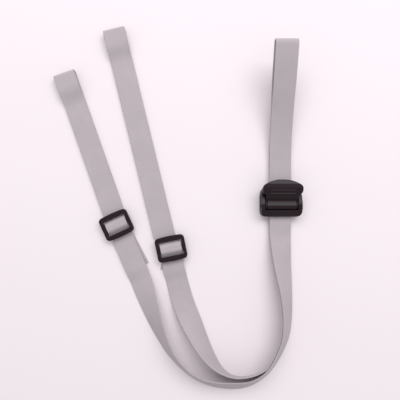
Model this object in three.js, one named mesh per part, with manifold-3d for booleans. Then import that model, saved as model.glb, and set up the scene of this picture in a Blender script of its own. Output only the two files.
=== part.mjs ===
// A doubled webbing sling: one strap folded in half, locked by a cam buckle near the fold, whose two
// free legs each end in a closed loop behind a tri-glide slider. Millimetres, +Z up, lying on Z = 0.
import * as THREE from 'three';
import Module from 'manifold-3d';
import { mergeVertices } from 'three/addons/utils/BufferGeometryUtils.js';

const wasm = await Module();
wasm.setup();

// ---------------------------------------------------------------- driving dimensions
const WEBBING_WIDTH = 20;
const WEBBING_THICKNESS = 1.2;
const CLEARANCE = 0.3; // left between pieces that touch
const LAYER_PITCH = WEBBING_THICKNESS + CLEARANCE;
const HALF_WIDTH = WEBBING_WIDTH / 2;
const HALF_THICKNESS = WEBBING_THICKNESS / 2;

// tri-glide slider, lying on two layers of webbing
const SLIDER = {
  width: 27.5,
  length: 22.8,
  cornerRadius: 3.2,
  windowWidth: 21,
  windowLength: 14,
  windowRadius: 1.4,
  bottom: 2 * LAYER_PITCH,
  thickness: 3.6,
  barLength: 4,
  barBottom: 1.6,
  barTop: 4,
  barReach: 1.6, // of the centre bar into each side rail
};

// the two legs, each named by the side that it lies on. Angles are in degrees from +Y towards -X
const LEGS = {
  left: {
    slider: [-77.3, -23.1],
    angle: 19.4,
    sliderSkew: 5.3,
    loopLength: 149.8, // slider centre to the tip of the end loop
    loopOffset: 0.5, // of the end loop to the right of the slider
    runOffset: 1.1, // of the run below the slider, likewise
    tailLength: 43, // slider centre to the cut end
    tailYaw: 8,
    turnsOver: false, // the run below the slider lies as it does in the bend
  },
  right: {
    slider: [-26.8, -44.8],
    angle: 13.7,
    sliderSkew: -2,
    loopLength: 211,
    loopOffset: -3.7,
    runOffset: -2.3,
    tailLength: 19,
    tailYaw: -26,
    turnsOver: true,
  },
};
const END_LOOP_GAP = 4.5; // inside the end loop of a leg
const END_LOOP_OPEN = 15; // length over which that gap is full
const END_LOOP_TAPER = 16;
const HUMP_FLAT = 2.3; // half length of the webbing's flat over the centre bar
const HUMP_FOOT = 6.5; // where the webbing is back on the table
const STRAIGHT_BELOW_SLIDER = 18;
const LOOP_SETTLES = 26; // distance above the slider at which the loop is on its own line
const SQUARE_TO_SLIDER = 9; // the webbing follows the slider's skew this far from its centre
const SKEW_ENDS = 16;
const LIFT_START = 1.5; // past the tail's end, where the run above it starts to come down
const LIFT_END = 12;
const PARTING_LENGTH = 20; // over which the upper layer of the doubled stretch comes down to the table
// stations of the webbing near a slider: close together over the centre bar, wider beyond it
const NEAR_SLIDER = [
  CLEARANCE / 2, 1.2, 2.3, 3, 3.7, 4.4, 5.1, 5.8, 6.5, 9, 11, 13.5, 16, STRAIGHT_BELOW_SLIDER,
];
const LOOP_STEP = 24; // between stations where a loop is flat
const TAIL_STEP = 10;
const FOLD_SEGMENTS = 9;
const TAPER_SEGMENTS = 6;

// cam buckle
const BUCKLE = {
  x: 74.5,
  width: 37.4,
  back: -15.4,
  front: 13,
  frontWidth: 31,
  basePlate: 1.6,
  cheek: 3.5,
  cornerRadius: 4.5,
  bridgeLength: 6.1,
  bridgeBottom: 5.4,
  backHeight: 7.4,
  pivotY: -5.6,
  pivotZ: 8.6,
  trunnionRadius: 2,
  taperStart: 2, // where the sides begin to close in towards the front
  taperKnee: 8,
  kneeInset: 0.5,
};
// the body from the side, as (Y, Z), from the front of the base plate up over the cheek to the back
const CHEEK_OUTLINE = [
  [13, 1.6],
  [9, 7.6],
  [4, 10.2],
  [-1.6, 12],
  [-3.6, 12.6],
  [-7.6, 12.6],
  [-11.8, 10.4],
  [-14.4, 8.8],
];
const LEVER = {
  barrelLength: 29.6,
  barrelRadius: 3.4,
  lobeRadius: 3.7,
  neckWidth: 29.6,
  flareWidth: 36.2,
  flareStart: 4.6,
  flareEnd: 6,
  tip: 18.6,
  tipCorner: 14,
  tipChamfer: 1.5,
  trunnionLength: 34.4,
};
// the lever from the side, as (Y, Z), from the barrel along the underside to the tip and back over the top
const LEVER_OUTLINE = [
  [-5.6, 12],
  [-6.6, 8.6],
  [-4.1, 6.4],
  [-0.5, 7.4],
  [3, 9],
  [6, 12],
  [9.5, 14.4],
  [13.5, 15],
  [17.7, 13.6],
  [18.6, 14.2],
  [18, 16],
  [14.6, 17.6],
  [11, 17.8],
  [7.5, 16.2],
  [4, 13.2],
  [1, 11.2],
  [-2, 10.6],
];
const BEYOND = 40; // longer than any piece of the buckle, for the solids that cut it
const BARREL_SIDES = 32;
const PIVOT_SIDES = 24;

// heights of the webbing in the buckle, and where it is straight and level
const BUCKLE_WEBBING_LIFT = BUCKLE.basePlate + CLEARANCE;
const BUCKLE_RAMP = 18; // length over which the webbing comes down behind the buckle
const LEVEL_BACK = -18;
const LEVEL_FRONT = 40;
const LOOP_UPPER_SEGMENTS = 20;
const LOOP_LOWER_SEGMENTS = 24;
const LOOP_FOLD_SEGMENTS = 11;

// the open loop beyond the buckle, as (Y, Z) of each layer's middle
const LOOP_UPPER = [[LEVEL_FRONT, 4], [60, 7.4], [80, 13.6], [100, 21.4], [118, 28], [134, 32.6]];
const LOOP_LOWER = [
  [LEVEL_FRONT, 2.5],
  [60, 5.8],
  [80, 10.8],
  [95, 13],
  [110, 16.8],
  [124, 21.8],
  [135, 25.7],
];

// routes on the table, as X, Y of the edge that rests on it, and the webbing's roll about that edge in
// degrees: 0 lies flat to the inside of the bend, 90 stands on edge and 180 lies flat to the outside
const PAIR_ROUTE = [
  [84.4, LEVEL_BACK, 0],
  [84.5, -30, 6],
  [84.9, -60, 29],
  [85.7, -82, 46],
  [85.8, -104, 55],
  [83.6, -126, 59],
  [76.2, -144.5, 61],
  [66.3, -159.8, 62],
];
const OUTER_ROUTE = [
  [59.2, -166.6, 59],
  [50.8, -172.6, 56],
  [39.5, -176.3, 52],
  [28.2, -176.9, 51],
  [14, -175.2, 54],
  [0, -170.4, 59],
  [-13.2, -162, 63],
  [-24.8, -150.8, 63],
  [-32.9, -141, 60],
  [-38.6, -131.6, 55],
  [-44.8, -121.2, 47],
  [-49.5, -112.2, 39],
  [-54.1, -102.6, 29],
  [-58.3, -93.4, 20],
  [-62, -84.6, 12],
  [-65.8, -75.2, 5],
  [-69.9, -65.4, 1],
];
const INNER_ROUTE = [
  [55.4, -163.4, 64],
  [45.1, -166.2, 65],
  [34.6, -166.2, 68],
  [26.5, -163.2, 73],
  [20.6, -157.6, 82],
  [16.4, -150.6, 98],
  [12, -141, 115],
  [6.6, -127, 133],
  [0.1, -109, 155],
  [-5.8, -94, 172],
  [-12.4, -71, 180],
];

// stations along those routes, and how many of them belong to each length of webbing
const PAIR_STATIONS = 84; // close enough together that the layers' facets stay apart where they twist
const LIMB_STATIONS = 56;
const OUTER_STATIONS = { all: 52, bend: 22 };
const INNER_STATIONS = { all: 40, bend: 17 };

// ---------------------------------------------------------------- small helpers
const radians = THREE.MathUtils.degToRad;
const smooth = THREE.MathUtils.smoothstep;
const UP = new THREE.Vector3(0, 0, 1);

const WEBBING_FINISH = { color: 0xb7aeb4, roughness: 0.85, metalness: 0 };
const PLASTIC_FINISH = { color: 0x2b272a, roughness: 0.42, metalness: 0 };
const webbingMaterial = () => new THREE.MeshStandardMaterial(WEBBING_FINISH);
const plasticMaterial = () => new THREE.MeshStandardMaterial(PLASTIC_FINISH);

const model = new THREE.Group();

function addMesh(name, geometry, material, parent = model) {
  const mesh = new THREE.Mesh(geometry, material);
  mesh.name = name;
  parent.add(mesh);
  return mesh;
}

function toSolid(geometry) {
  const plain = geometry.clone();
  plain.deleteAttribute('normal');
  plain.deleteAttribute('uv');
  const merged = mergeVertices(plain, 1e-4);
  const vertProperties = new Float32Array(merged.attributes.position.array);
  const triVerts = new Uint32Array(merged.index.array);
  return new wasm.Manifold(new wasm.Mesh({ numProp: 3, vertProperties, triVerts }));
}

function toGeometry(solid) {
  const { vertProperties, triVerts, numProp } = solid.getMesh();
  const positions = new Float32Array((vertProperties.length / numProp) * 3);
  for (let i = 0; i < positions.length / 3; i++) {
    positions.set(vertProperties.subarray(i * numProp, i * numProp + 3), i * 3);
  }
  const geometry = new THREE.BufferGeometry();
  geometry.setAttribute('position', new THREE.BufferAttribute(positions, 3));
  geometry.setIndex([...triVerts]);
  geometry.computeVertexNormals();
  return geometry;
}

function box(sizeX, sizeY, sizeZ, x, y, z) {
  return new THREE.BoxGeometry(sizeX, sizeY, sizeZ).translate(x, y, z);
}

function roundedRectangle(width, length, radius, target = new THREE.Shape()) {
  const x = width / 2;
  const y = length / 2;
  target.moveTo(-x + radius, -y);
  target.lineTo(x - radius, -y);
  target.absarc(x - radius, -y + radius, radius, -Math.PI / 2, 0);
  target.lineTo(x, y - radius);
  target.absarc(x - radius, y - radius, radius, 0, Math.PI / 2);
  target.lineTo(-x + radius, y);
  target.absarc(-x + radius, y - radius, radius, Math.PI / 2, Math.PI);
  target.lineTo(-x, -y + radius);
  target.absarc(-x + radius, -y + radius, radius, Math.PI, 1.5 * Math.PI);
  return target;
}

// an outline in (Y, Z) extruded along X, centred on X = 0
function extrudeAcross(outline, width) {
  const shape = new THREE.Shape(outline.map(([y, z]) => new THREE.Vector2(y, z)));
  const geometry = new THREE.ExtrudeGeometry(shape, { depth: width, bevelEnabled: false });
  const turn = new THREE.Matrix4().makeBasis(new THREE.Vector3(0, 1, 0), UP, new THREE.Vector3(1, 0, 0));
  return geometry.applyMatrix4(turn).translate(-width / 2, 0, 0);
}

// ---------------------------------------------------------------- webbing
// A station of a webbing run: the middle of the thickness at one edge, the way across the width and the
// way through the thickness. `across` may be longer than 1 where a station is cut at a slant.
function station(edge, across, through) {
  return { edge, across, through };
}

function webbingSolid(run) {
  const travel = run[1].edge.clone().sub(run[0].edge);
  const turn = run[0].across.clone().cross(run[0].through).dot(travel);
  const stations = turn < 0 ? run : [...run].reverse();
  const last = stations.length - 1;
  const geometry = new THREE.BoxGeometry(WEBBING_WIDTH, WEBBING_THICKNESS, 1, 1, 1, last);
  const position = geometry.attributes.position;
  const point = new THREE.Vector3();
  for (let i = 0; i < position.count; i++) {
    const { edge, across, through } = stations[Math.round((0.5 + position.getZ(i)) * last)];
    point.copy(edge);
    point.addScaledVector(across, HALF_WIDTH - position.getX(i));
    point.addScaledVector(through, position.getY(i));
    position.setXYZ(i, point.x, point.y, point.z);
  }
  return geometry;
}

function routeCurve(route) {
  const points = route.map(([x, y, roll]) => new THREE.Vector3(x, y, radians(roll)));
  return new THREE.CatmullRomCurve3(points, false, 'centripetal');
}

// a station on a route, with its lower edge on the table
function routeStation(curve, u) {
  const point = curve.getPointAt(u);
  const tangent = curve.getTangentAt(u).setZ(0).normalize();
  const inward = new THREE.Vector3(tangent.y, -tangent.x, 0);
  const [sin, cos] = [Math.sin(point.z), Math.cos(point.z)];
  const across = inward.clone().multiplyScalar(cos).addScaledVector(UP, sin);
  const through = UP.clone().multiplyScalar(cos).addScaledVector(inward, -sin);
  const edge = new THREE.Vector3(point.x, point.y, HALF_THICKNESS * Math.abs(cos));
  return station(edge, across, through);
}

function shifted(source, distance) {
  return station(source.edge.clone().addScaledVector(source.through, distance), source.across, source.through);
}

function lifted(source, height) {
  return station(source.edge.clone().setZ(source.edge.z + height), source.across, source.through);
}

function range(from, to, count) {
  return Array.from({ length: count + 1 }, (_, i) => from + ((to - from) * i) / count);
}

// the doubled stretch from the buckle to the bottom of the bend: the inner layer lies under the outer one
const outerCurve = routeCurve([...PAIR_ROUTE, ...OUTER_ROUTE, legEdge(LEGS.left, -STRAIGHT_BELOW_SLIDER)]);
const pairEnd = parameterNear(outerCurve, PAIR_ROUTE.at(-1));
const outerPair = range(0, pairEnd, PAIR_STATIONS).map((u) => {
  const flat = routeStation(outerCurve, u);
  const rise = BUCKLE_WEBBING_LIFT * (1 - smooth(LEVEL_BACK - flat.edge.y, 0, BUCKLE_RAMP));
  return lifted(flat, rise + LAYER_PITCH * Math.max(flat.through.z, 0));
});
const innerPair = outerPair.map((s) => shifted(s, -LAYER_PITCH));

function parameterNear(curve, [x, y]) {
  const nearest = range(0, 1, 2000).reduce((best, u) => {
    const p = curve.getPointAt(u);
    const distance = Math.hypot(p.x - x, p.y - y);
    return distance < best.distance ? { u, distance } : best;
  }, { u: 0, distance: Infinity });
  return nearest.u;
}

// a leg's own axes: `along` runs from the slider to the end loop, `right` across it
function legAxes(leg) {
  const angle = radians(leg.angle);
  return {
    origin: new THREE.Vector3(leg.slider[0], leg.slider[1], 0),
    along: new THREE.Vector3(-Math.sin(angle), Math.cos(angle), 0),
    right: new THREE.Vector3(Math.cos(angle), Math.sin(angle), 0),
  };
}

// how far the webbing's middle lies to the right at distance q from the slider: it passes through the slider
// square to its bars, then eases over to the line of the loop above or of the run below
function sidewaysAt(leg, q) {
  const square = -Math.tan(radians(leg.sliderSkew)) * q;
  const line = q > 0 ? leg.loopOffset : leg.runOffset;
  const settled = q > 0 ? LOOP_SETTLES : STRAIGHT_BELOW_SLIDER;
  return THREE.MathUtils.lerp(square, line, smooth(Math.abs(q), HUMP_FOOT, settled));
}

// the edge that a leg's run has rested on, at distance q from its slider, as a route point: the right-hand one
// where the webbing has turned over, otherwise the left-hand one
function legEdge(leg, q) {
  const { origin, along, right } = legAxes(leg);
  const sideways = sidewaysAt(leg, q) + (leg.turnsOver ? HALF_WIDTH : -HALF_WIDTH);
  const point = origin.clone().addScaledVector(along, q).addScaledVector(right, sideways);
  return [point.x, point.y, leg.turnsOver ? 180 : 0];
}

const humpHeight = (q) => (SLIDER.barTop + CLEARANCE) * (1 - smooth(Math.abs(q), HUMP_FLAT, HUMP_FOOT));

// a level station of a leg, at height z and distance q from the slider. Near the slider it is cut parallel to
// the slider's bars
function legStation(leg, q, z, sideways = sidewaysAt(leg, q)) {
  const { origin, along, right } = legAxes(leg);
  const slant = Math.tan(radians(leg.sliderSkew)) * (1 - smooth(Math.abs(q), SQUARE_TO_SLIDER, SKEW_ENDS));
  const across = right.clone().addScaledVector(along, slant).negate();
  const middle = origin.clone().addScaledVector(along, q).addScaledVector(right, sideways).setZ(z);
  return station(middle.addScaledVector(across, -HALF_WIDTH), across, UP.clone().negate());
}

// distances from the slider for a run from its centre outwards
function legDistances(end, step) {
  const count = Math.max(1, Math.ceil((end - STRAIGHT_BELOW_SLIDER) / step));
  return [...NEAR_SLIDER, ...range(STRAIGHT_BELOW_SLIDER, end, count).slice(1)];
}

const lowerMiddle = HALF_THICKNESS;
const upperMiddle = HALF_THICKNESS + LAYER_PITCH;

// the same section measured from its other edge, the other way up
function turnedOver(source) {
  const edge = source.edge.clone().addScaledVector(source.across, WEBBING_WIDTH);
  return station(edge, source.across.clone().negate(), source.through.clone().negate());
}

// the run of webbing that arrives at a slider from the bend, over the free tail. It comes off the layer below
// it at height `startLift`
function arrivingRun(leg, curve, from, count, startLift) {
  const length = curve.getLength();
  const curved = range(from, 1, count).map((u) => {
    const q = STRAIGHT_BELOW_SLIDER + (1 - u) * length;
    const rise = LAYER_PITCH * (1 - smooth(q, leg.tailLength + LIFT_START, leg.tailLength + LIFT_END));
    const settling = startLift * (1 - smooth((u - from) * length, 0, PARTING_LENGTH));
    return lifted(routeStation(curve, u), rise + settling);
  });
  const distances = NEAR_SLIDER.slice(0, -1).reverse();
  const level = distances.map((q) => legStation(leg, -q, upperMiddle + humpHeight(q)));
  return [...curved, ...(leg.turnsOver ? level : level.map(turnedOver))];
}

function tail(leg) {
  const yaw = Math.tan(radians(leg.tailYaw));
  return legDistances(leg.tailLength, TAIL_STEP).map((q) => {
    const straight = Math.min(q, SQUARE_TO_SLIDER);
    const sideways = sidewaysAt(leg, -straight) + yaw * (q - straight);
    return legStation(leg, -q, lowerMiddle + humpHeight(q), sideways);
  });
}

// a folded end: half a turn of webbing about `centre`, from the upper layer to the lower one. `pitch` tilts it
function foldStations(centre, along, across, radius, pitch, segments) {
  return range(0, 1, segments).map((share) => {
    const angle = pitch + Math.PI * (0.5 - share);
    const outward = along.clone().multiplyScalar(Math.cos(angle)).addScaledVector(UP, Math.sin(angle));
    const edge = centre.clone().addScaledVector(outward, radius).addScaledVector(across, -HALF_WIDTH);
    return station(edge, across, outward.negate());
  });
}

function legLoop(name, leg) {
  const { origin, along, right } = legAxes(leg);
  const radius = (END_LOOP_GAP + WEBBING_THICKNESS) / 2;
  const foldAt = leg.loopLength - radius - HALF_THICKNESS;
  const open = leg.loopLength - END_LOOP_OPEN;
  const taper = open - END_LOOP_TAPER;
  const upperHeight = (q) => upperMiddle + (2 * radius - LAYER_PITCH) * smooth(q, taper, open);
  const upperDistances = [
    ...legDistances(taper, LOOP_STEP),
    ...range(taper, open, TAPER_SEGMENTS).slice(1),
    foldAt - CLEARANCE,
  ];
  const lowerDistances = [...legDistances(taper, LOOP_STEP), foldAt - CLEARANCE];
  const upper = upperDistances.map((q) => legStation(leg, q, upperHeight(q) + humpHeight(q)));
  const lower = lowerDistances.map((q) => legStation(leg, q, lowerMiddle + humpHeight(q)));
  const centre = origin.clone().addScaledVector(along, foldAt).addScaledVector(right, leg.loopOffset);
  centre.z = lowerMiddle + radius;
  const fold = foldStations(centre, along, right.clone().negate(), radius, 0, FOLD_SEGMENTS);
  addMesh(`${name}_loop_upper_layer`, webbingSolid(upper), webbingMaterial());
  addMesh(`${name}_loop_lower_layer`, webbingSolid(lower), webbingMaterial());
  addMesh(`${name}_loop_fold`, webbingSolid(fold), webbingMaterial());
  addMesh(`${name}_leg_tail`, webbingSolid(tail(leg)), webbingMaterial());
}

// splits a run into nodes that end a clearance apart
function addRun(names, stations, breaks) {
  const limits = [0, ...breaks, stations.length - 1];
  names.forEach((name, i) => {
    const piece = stations.slice(limits[i], limits[i + 1] + 1);
    if (i > 0) {
      piece[0] = between(piece[0], piece[1]);
    }
    addMesh(name, webbingSolid(piece), webbingMaterial());
  });
}

function between(first, second) {
  const share = CLEARANCE / first.edge.distanceTo(second.edge);
  return station(
    first.edge.clone().lerp(second.edge, share),
    first.across.clone().lerp(second.across, share).normalize(),
    first.through.clone().lerp(second.through, share).normalize(),
  );
}

const outerLift = LAYER_PITCH * outerPair.at(-1).through.z;
const outerLeg = arrivingRun(LEGS.left, outerCurve, pairEnd, OUTER_STATIONS.all, outerLift).slice(1);
addRun(
  ['outer_limb', 'outer_bend', 'left_leg_run'],
  [...outerPair, ...outerLeg],
  [LIMB_STATIONS, PAIR_STATIONS + OUTER_STATIONS.bend],
);

const innerStart = innerPair.slice(-5).filter((_, i) => i % 2 === 0).map((s) => {
  const roll = Math.atan2(s.across.z, s.through.z);
  return [s.edge.x, s.edge.y, THREE.MathUtils.radToDeg(roll)];
});
const innerCurve = routeCurve([...innerStart, ...INNER_ROUTE, legEdge(LEGS.right, -STRAIGHT_BELOW_SLIDER)]);
const innerFrom = parameterNear(innerCurve, innerStart.at(-1));
const innerLeg = arrivingRun(LEGS.right, innerCurve, innerFrom, INNER_STATIONS.all, 0).slice(1);
addRun(
  ['inner_limb', 'inner_bend', 'right_leg_run'],
  [...innerPair, ...innerLeg],
  [LIMB_STATIONS, PAIR_STATIONS + INNER_STATIONS.bend],
);

legLoop('left', LEGS.left);
legLoop('right', LEGS.right);

// ---------------------------------------------------------------- the open loop beyond the buckle
function profileStations(points, steps) {
  const path = points.map(([y, z]) => new THREE.Vector3(0, y, z));
  const curve = new THREE.CatmullRomCurve3(path, false, 'centripetal');
  return range(0, 1, steps).map((u) => {
    const point = curve.getPointAt(u);
    const tangent = curve.getTangentAt(u);
    const edge = point.setX(BUCKLE.x + HALF_WIDTH);
    return station(edge, new THREE.Vector3(-1, 0, 0), new THREE.Vector3(0, -tangent.z, tangent.y));
  });
}

function levelThrough(z) {
  const edge = new THREE.Vector3(BUCKLE.x + HALF_WIDTH, LEVEL_BACK + CLEARANCE, z);
  return station(edge, new THREE.Vector3(-1, 0, 0), UP.clone());
}

const loopUpper = [levelThrough(LOOP_UPPER[0][1]), ...profileStations(LOOP_UPPER, LOOP_UPPER_SEGMENTS)];
const loopLower = [levelThrough(LOOP_LOWER[0][1]), ...profileStations(LOOP_LOWER, LOOP_LOWER_SEGMENTS)];
addMesh('main_loop_upper_layer', webbingSolid(loopUpper), webbingMaterial());
addMesh('main_loop_lower_layer', webbingSolid(loopLower), webbingMaterial());
const foldTop = new THREE.Vector2(...LOOP_UPPER.at(-1));
const foldBottom = new THREE.Vector2(...LOOP_LOWER.at(-1));
const foldDepth = foldTop.clone().sub(foldBottom);
const foldMiddle = foldTop.clone().add(foldBottom).multiplyScalar(0.5);
const mainFold = foldStations(
  new THREE.Vector3(BUCKLE.x, foldMiddle.x + CLEARANCE, foldMiddle.y),
  new THREE.Vector3(0, 1, 0),
  new THREE.Vector3(-1, 0, 0),
  foldDepth.length() / 2,
  foldDepth.angle() - Math.PI / 2,
  LOOP_FOLD_SEGMENTS,
);
addMesh('main_loop_fold', webbingSolid(mainFold), webbingMaterial());

// ---------------------------------------------------------------- tri-glide sliders
function sliderGeometry() {
  const outline = roundedRectangle(SLIDER.width, SLIDER.length, SLIDER.cornerRadius);
  const windowPath = new THREE.Path();
  roundedRectangle(SLIDER.windowWidth, SLIDER.windowLength, SLIDER.windowRadius, windowPath);
  outline.holes.push(windowPath);
  const settings = { depth: SLIDER.thickness, bevelEnabled: false, curveSegments: 4 };
  const frame = new THREE.ExtrudeGeometry(outline, settings).translate(0, 0, SLIDER.bottom);
  const barHeight = SLIDER.barTop - SLIDER.barBottom;
  const barWidth = SLIDER.windowWidth + 2 * SLIDER.barReach;
  const bar = box(barWidth, SLIDER.barLength, barHeight, 0, 0, SLIDER.barBottom + barHeight / 2);
  return toGeometry(toSolid(frame).add(toSolid(bar)));
}

for (const [name, leg] of Object.entries(LEGS)) {
  const slider = addMesh(`${name}_slider`, sliderGeometry(), plasticMaterial());
  slider.position.set(leg.slider[0], leg.slider[1], 0);
  slider.rotation.z = radians(leg.angle + leg.sliderSkew);
}

// ---------------------------------------------------------------- cam buckle
const buckle = new THREE.Group();
buckle.position.x = BUCKLE.x;
model.add(buckle);

function cylinderAcross(radius, length, sides) {
  return new THREE.CylinderGeometry(radius, radius, length, sides).rotateZ(Math.PI / 2)
    .translate(0, BUCKLE.pivotY, BUCKLE.pivotZ);
}

// seen from above the body is rounded at the back and narrows a little towards the front
function bucklePlan() {
  const half = BUCKLE.width / 2;
  const frontHalf = BUCKLE.frontWidth / 2;
  const radius = BUCKLE.cornerRadius;
  const shape = new THREE.Shape();
  shape.moveTo(frontHalf, BUCKLE.front);
  shape.lineTo(-frontHalf, BUCKLE.front);
  shape.lineTo(-half + BUCKLE.kneeInset, BUCKLE.taperKnee);
  shape.lineTo(-half, BUCKLE.taperStart);
  shape.lineTo(-half, BUCKLE.back + radius);
  shape.absarc(-half + radius, BUCKLE.back + radius, radius, Math.PI, 1.5 * Math.PI);
  shape.lineTo(half - radius, BUCKLE.back);
  shape.absarc(half - radius, BUCKLE.back + radius, radius, -Math.PI / 2, 0);
  shape.lineTo(half, BUCKLE.taperStart);
  shape.lineTo(half - BUCKLE.kneeInset, BUCKLE.taperKnee);
  const settings = { depth: 2 * BEYOND, bevelEnabled: false, curveSegments: 4 };
  return new THREE.ExtrudeGeometry(shape, settings).translate(0, 0, -BEYOND);
}

function buckleBodyGeometry() {
  const inside = BUCKLE.width - 2 * BUCKLE.cheek;
  const foot = [[BUCKLE.back, 0], [BUCKLE.front, 0]];
  const sideOutline = [...foot, ...CHEEK_OUTLINE, [BUCKLE.back, BUCKLE.backHeight]];
  const bridgeFront = BUCKLE.back + BUCKLE.bridgeLength;
  const half = BEYOND / 2;
  const openTop = box(inside, BEYOND, BEYOND, 0, bridgeFront + half, BUCKLE.basePlate + half);
  const channelHeight = BUCKLE.bridgeBottom - BUCKLE.basePlate;
  const underBridge = box(inside, BEYOND, channelHeight, 0, 0, BUCKLE.basePlate + channelHeight / 2);
  const pivotHoles = cylinderAcross(BUCKLE.trunnionRadius + CLEARANCE, BEYOND, PIVOT_SIDES);
  return toGeometry(
    toSolid(extrudeAcross(sideOutline, BUCKLE.width))
      .subtract(toSolid(openTop))
      .subtract(toSolid(underBridge))
      .subtract(toSolid(pivotHoles))
      .intersect(toSolid(bucklePlan())),
  );
}

// seen from above the lever is straight along the barrel and the neck, then flares to a rounded finger end
function leverPlan() {
  const barrel = LEVER.barrelLength / 2;
  const barrelFront = BUCKLE.pivotY + LEVER.lobeRadius;
  const neck = LEVER.neckWidth / 2;
  const flare = LEVER.flareWidth / 2;
  const shape = new THREE.Shape();
  shape.moveTo(-barrel, BUCKLE.pivotY - LEVER.barrelRadius);
  shape.lineTo(barrel, BUCKLE.pivotY - LEVER.barrelRadius);
  shape.lineTo(barrel, barrelFront);
  shape.lineTo(neck, barrelFront + 1);
  shape.lineTo(neck, LEVER.flareStart);
  shape.lineTo(flare, LEVER.flareEnd);
  shape.lineTo(flare, LEVER.tipCorner - LEVER.tipChamfer);
  shape.lineTo(flare - LEVER.tipChamfer, LEVER.tipCorner);
  shape.quadraticCurveTo(flare / 2, LEVER.tip, 0, LEVER.tip);
  shape.quadraticCurveTo(-flare / 2, LEVER.tip, LEVER.tipChamfer - flare, LEVER.tipCorner);
  shape.lineTo(-flare, LEVER.tipCorner - LEVER.tipChamfer);
  shape.lineTo(-flare, LEVER.flareEnd);
  shape.lineTo(-neck, LEVER.flareStart);
  shape.lineTo(-neck, barrelFront + 1);
  shape.lineTo(-barrel, barrelFront);
  return new THREE.ExtrudeGeometry(shape, { depth: BEYOND, bevelEnabled: false, curveSegments: 8 });
}

function camLeverGeometry() {
  const plate = toSolid(extrudeAcross([...LEVER_OUTLINE].reverse(), LEVER.flareWidth));
  const barrel = toSolid(cylinderAcross(LEVER.barrelRadius, LEVER.barrelLength, BARREL_SIDES));
  const trunnions = toSolid(cylinderAcross(BUCKLE.trunnionRadius, LEVER.trunnionLength, PIVOT_SIDES));
  return toGeometry(plate.intersect(toSolid(leverPlan())).add(barrel).add(trunnions));
}

addMesh('buckle_body', buckleBodyGeometry(), plasticMaterial(), buckle);
addMesh('cam_lever', camLeverGeometry(), plasticMaterial(), buckle);

// ---------------------------------------------------------------- origin at the middle of the footprint
model.updateMatrixWorld(true);
const bounds = new THREE.Box3().setFromObject(model, true);
const centre = bounds.getCenter(new THREE.Vector3());
model.position.set(-centre.x, -centre.y, -bounds.min.z);

export default model;
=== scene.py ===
"""A doubled webbing carrying strap lying on a pale floor: a cam buckle near its folded end, and a tri-glide
slider on each of its two legs. Routes and sizes below are in millimetres, in the strap's own drafting frame,
which SHIFT moves into the row frame. Meshes are made in metres.
"""
import math

import bmesh
import bpy
import numpy as np
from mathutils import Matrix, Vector


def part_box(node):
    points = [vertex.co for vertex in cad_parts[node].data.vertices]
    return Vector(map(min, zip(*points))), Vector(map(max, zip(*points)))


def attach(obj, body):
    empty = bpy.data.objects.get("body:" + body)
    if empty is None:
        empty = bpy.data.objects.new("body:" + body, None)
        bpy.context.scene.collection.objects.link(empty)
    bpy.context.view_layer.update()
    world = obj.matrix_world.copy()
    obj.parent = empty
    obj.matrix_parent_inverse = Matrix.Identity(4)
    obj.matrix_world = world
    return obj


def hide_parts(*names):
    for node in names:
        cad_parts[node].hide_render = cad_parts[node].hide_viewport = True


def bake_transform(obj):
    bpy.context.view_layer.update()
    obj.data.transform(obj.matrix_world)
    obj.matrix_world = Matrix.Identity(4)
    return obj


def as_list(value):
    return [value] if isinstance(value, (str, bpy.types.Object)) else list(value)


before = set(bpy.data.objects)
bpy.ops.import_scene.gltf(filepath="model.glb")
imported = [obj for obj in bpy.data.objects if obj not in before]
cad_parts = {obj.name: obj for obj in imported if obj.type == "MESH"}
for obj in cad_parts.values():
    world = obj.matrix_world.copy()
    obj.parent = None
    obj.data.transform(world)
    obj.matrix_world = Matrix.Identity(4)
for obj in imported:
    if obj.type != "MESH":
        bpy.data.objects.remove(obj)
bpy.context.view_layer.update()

# ------------------------------------------------------------------ sizes
MM = 0.001
UP = np.array([0.0, 0.0, 1.0])

# webbing
WIDTH = 20.0
THICKNESS = 1.2
HALF_WIDTH = WIDTH / 2
HALF_THICKNESS = THICKNESS / 2
PITCH = THICKNESS + 0.3  # from one layer of webbing to the next
# heights of the middles of the first and the second layer on the floor
LOWER = HALF_THICKNESS
UPPER = HALF_THICKNESS + PITCH
SELVAGE_ACROSS = [0.0, 0.06, 0.2, 0.42, 0.75, 1.1, 1.45, 2.6, 4.6, 7.2]  # in from the edge
SELVAGE_HEIGHT = [0.0, 0.5, 0.82, 1.0, 1.04, 1.0, 0.93, 0.95, 0.97, 0.98]  # share of half the thickness
SELVAGE_FILL = 0.96
MIDDLE_FILL = 0.94
SEALED_END = (0.99, 0.72)  # shares of the width and the thickness that are left where an end is melted
CREASE = math.radians(60)  # faces that meet at more than this are shaded apart

# cam buckle: its front is the lever's finger end, towards the main loop
BUCKLE_X = 74.5
BUCKLE_BACK = -15.4
BUCKLE_FRONT = 13.0
BUCKLE_HALF = 18.7
BUCKLE_FRONT_HALF = 15.5
BUCKLE_CORNER = 4.5
BASE_PLATE = 1.6
CHEEK = 3.5
CHEEK_TOP = 12.6
DISH_DEPTH = 0.5
BRIDGE_FRONT = BUCKLE_BACK + 6.2
BRIDGE_BOTTOM = 5.4
BODY_RIBS = np.arange(-3.0, 9.0, 2.0)
BODY_RIB_FOOT = 1.4
BODY_RIB_TOP = 1.78
BODY_RIB_HALF = 0.5
BODY_RIB_INSET = 1.0
PIVOT_Y = -5.6
PIVOT_Z = 8.6
RUNNING_GAP = 0.3  # round the barrel and the trunnions
BOSS_RADIUS = 3.6
BOSS_SPAN = (BUCKLE_HALF - 1.0, BUCKLE_HALF - 0.05)
TRUNNION_RADIUS = 2.0
TRUNNION_HALF = 17.2
BARREL_RADIUS = 3.7
BARREL_HALF = 14.8
GROOVE_SPAN = (BARREL_HALF - 0.9, BARREL_HALF - 1.5)
GROOVE_DEPTH = 0.7
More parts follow.
